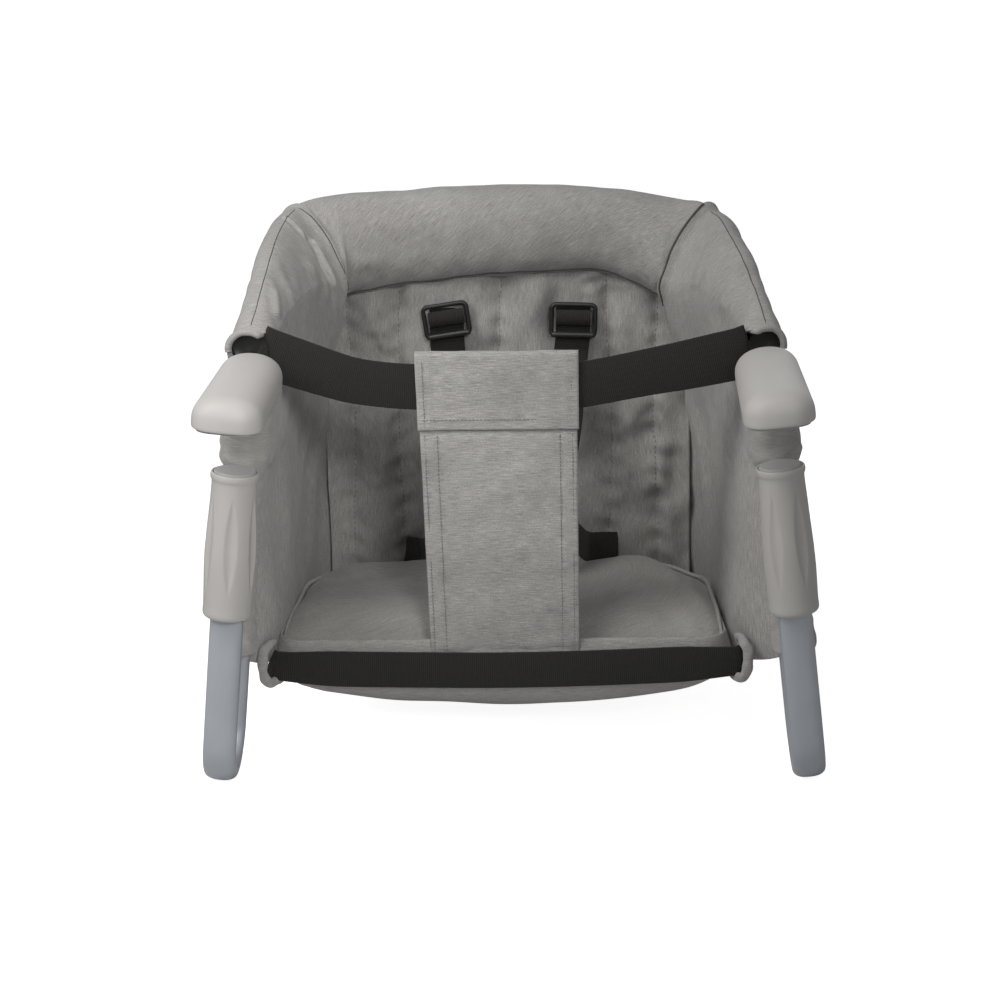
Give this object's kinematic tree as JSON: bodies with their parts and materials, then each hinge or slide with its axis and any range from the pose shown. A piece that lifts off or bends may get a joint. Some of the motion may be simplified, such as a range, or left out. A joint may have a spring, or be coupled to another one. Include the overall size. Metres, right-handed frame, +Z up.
{
  "type": "hook on table chair",
  "caption": "Hook-on table chair with folding clamp arms, twist grips, a fabric seat with padded back roll, front webbing, leg panel and buckled harness.",
  "frame": {"origin": "midway between the two arm pivots, in the plane of the soles that rest on the table top", "axes": "+Z up, -Y towards the table, +X to the right as seen from the table"},
  "size_m": [0.4158, 0.3411, 0.3646],
  "materials": {
    "arm_cap": "soft satin moulded plastic",
    "grip": "satin moulded plastic",
    "pad_rubber": "matt",
    "tube_paint": "satin silver grey",
    "alloy": "satin",
    "steel": "turned, zinc plated",
    "black_plastic": "satin",
    "webbing": "ribbed woven webbing",
    "cloth": "melange woven polyester",
    "panel_cloth": "melange woven polyester, lighter",
    "board": "matt sheet"
  },
  "bodies": {
    "seat": {"back_frame_tube": "alloy", "back_roll": "cloth", "back_panel": "cloth", "seat_pad": "cloth", "seat_board": "board", "seat_sling": "cloth", "front_strap": "webbing", "lower_strap": "webbing", "leg_panel": "panel_cloth", "crotch_strap": "webbing", "buckle_body": "black_plastic", "left_hinge_housing": "black_plastic", "left_post_sleeve": "cloth", "left_side_panel": "cloth", "left_strap_rivet": "steel", "left_strap_loop": "cloth", "left_shoulder_strap": "webbing", "left_waist_strap": "webbing", "right_hinge_housing": "black_plastic", "right_post_sleeve": "cloth", "right_side_panel": "cloth", "right_strap_rivet": "steel", "right_strap_loop": "cloth", "right_shoulder_strap": "webbing", "right_waist_strap": "webbing"},
    "left_arm": {"left_arm_cap": "arm_cap", "left_arm_sole": "pad_rubber", "left_arm_beam": "alloy", "left_pivot_pin": "steel", "left_thrust_washer": "black_plastic", "left_clamp_tube": "tube_paint", "left_thread_insert": "black_plastic"},
    "left_clamp": {"left_clamp_pad": "pad_rubber"},
    "left_grip": {"left_twist_grip": "grip", "left_clamp_screw": "steel"},
    "left_tongue": {"left_buckle_tongue": "black_plastic"},
    "left_adjuster": {"left_strap_adjuster": "black_plastic"},
    "right_arm": {"right_arm_cap": "arm_cap", "right_arm_sole": "pad_rubber", "right_arm_beam": "alloy", "right_pivot_pin": "steel", "right_thrust_washer": "black_plastic", "right_clamp_tube": "tube_paint", "right_thread_insert": "black_plastic"},
    "right_clamp": {"right_clamp_pad": "pad_rubber"},
    "right_grip": {"right_twist_grip": "grip", "right_clamp_screw": "steel"},
    "right_tongue": {"right_buckle_tongue": "black_plastic"},
    "right_adjuster": {"right_strap_adjuster": "black_plastic"},
    "button": {"buckle_button": "black_plastic"}
  },
  "joints": [
    {"name": "left_arm_fold", "type": "hinge", "parent": "seat", "child": "left_arm", "pos_m": [-0.17, 0, 0], "axis": [0.1045, 0, 0.9945], "range_deg": [0, 90]},
    {"name": "left_clamp_rise", "type": "slide", "parent": "left_arm", "child": "left_clamp", "axis": [0.1045, 0, 0.9945], "range_m": [-0.045, 0.022]},
    {"name": "left_grip_turn", "type": "hinge", "parent": "left_clamp", "child": "left_grip", "pos_m": [-0.17429, -0.05, -0.04077], "axis": [0.1045, 0, 0.9945], "range_deg": [-1620, 792]},
    {"name": "left_tongue_pull", "type": "slide", "parent": "seat", "child": "left_tongue", "axis": [-1, 0, 0], "range_m": [0, 0.014]},
    {"name": "left_adjuster_slide", "type": "slide", "parent": "seat", "child": "left_adjuster", "axis": [0, 0, 1], "range_m": [-0.008, 0.015]},
    {"name": "right_arm_fold", "type": "hinge", "parent": "seat", "child": "right_arm", "pos_m": [0.17, 0, 0], "axis": [0.1045, 0, -0.9945], "range_deg": [0, 90]},
    {"name": "right_clamp_rise", "type": "slide", "parent": "right_arm", "child": "right_clamp", "axis": [-0.1045, 0, 0.9945], "range_m": [-0.045, 0.022]},
    {"name": "right_grip_turn", "type": "hinge", "parent": "right_clamp", "child": "right_grip", "pos_m": [0.17429, -0.05, -0.04077], "axis": [-0.1045, 0, 0.9945], "range_deg": [-1620, 792]},
    {"name": "right_tongue_pull", "type": "slide", "parent": "seat", "child": "right_tongue", "axis": [1, 0, 0], "range_m": [0, 0.014]},
    {"name": "right_adjuster_slide", "type": "slide", "parent": "seat", "child": "right_adjuster", "axis": [0, 0, 1], "range_m": [-0.008, 0.015]},
    {"name": "buckle_button_push", "type": "slide", "parent": "seat", "child": "button", "axis": [0, 1, 0], "range_m": [0, 0.003], "stiffness_N_per_m": 300, "springref_m": -0.001}
  ],
  "couplings": [
    {"joint": "left_grip_turn", "follows": "left_clamp_rise", "rad_per_m": 628.32},
    {"joint": "right_grip_turn", "follows": "right_clamp_rise", "rad_per_m": 628.32}
  ]
}
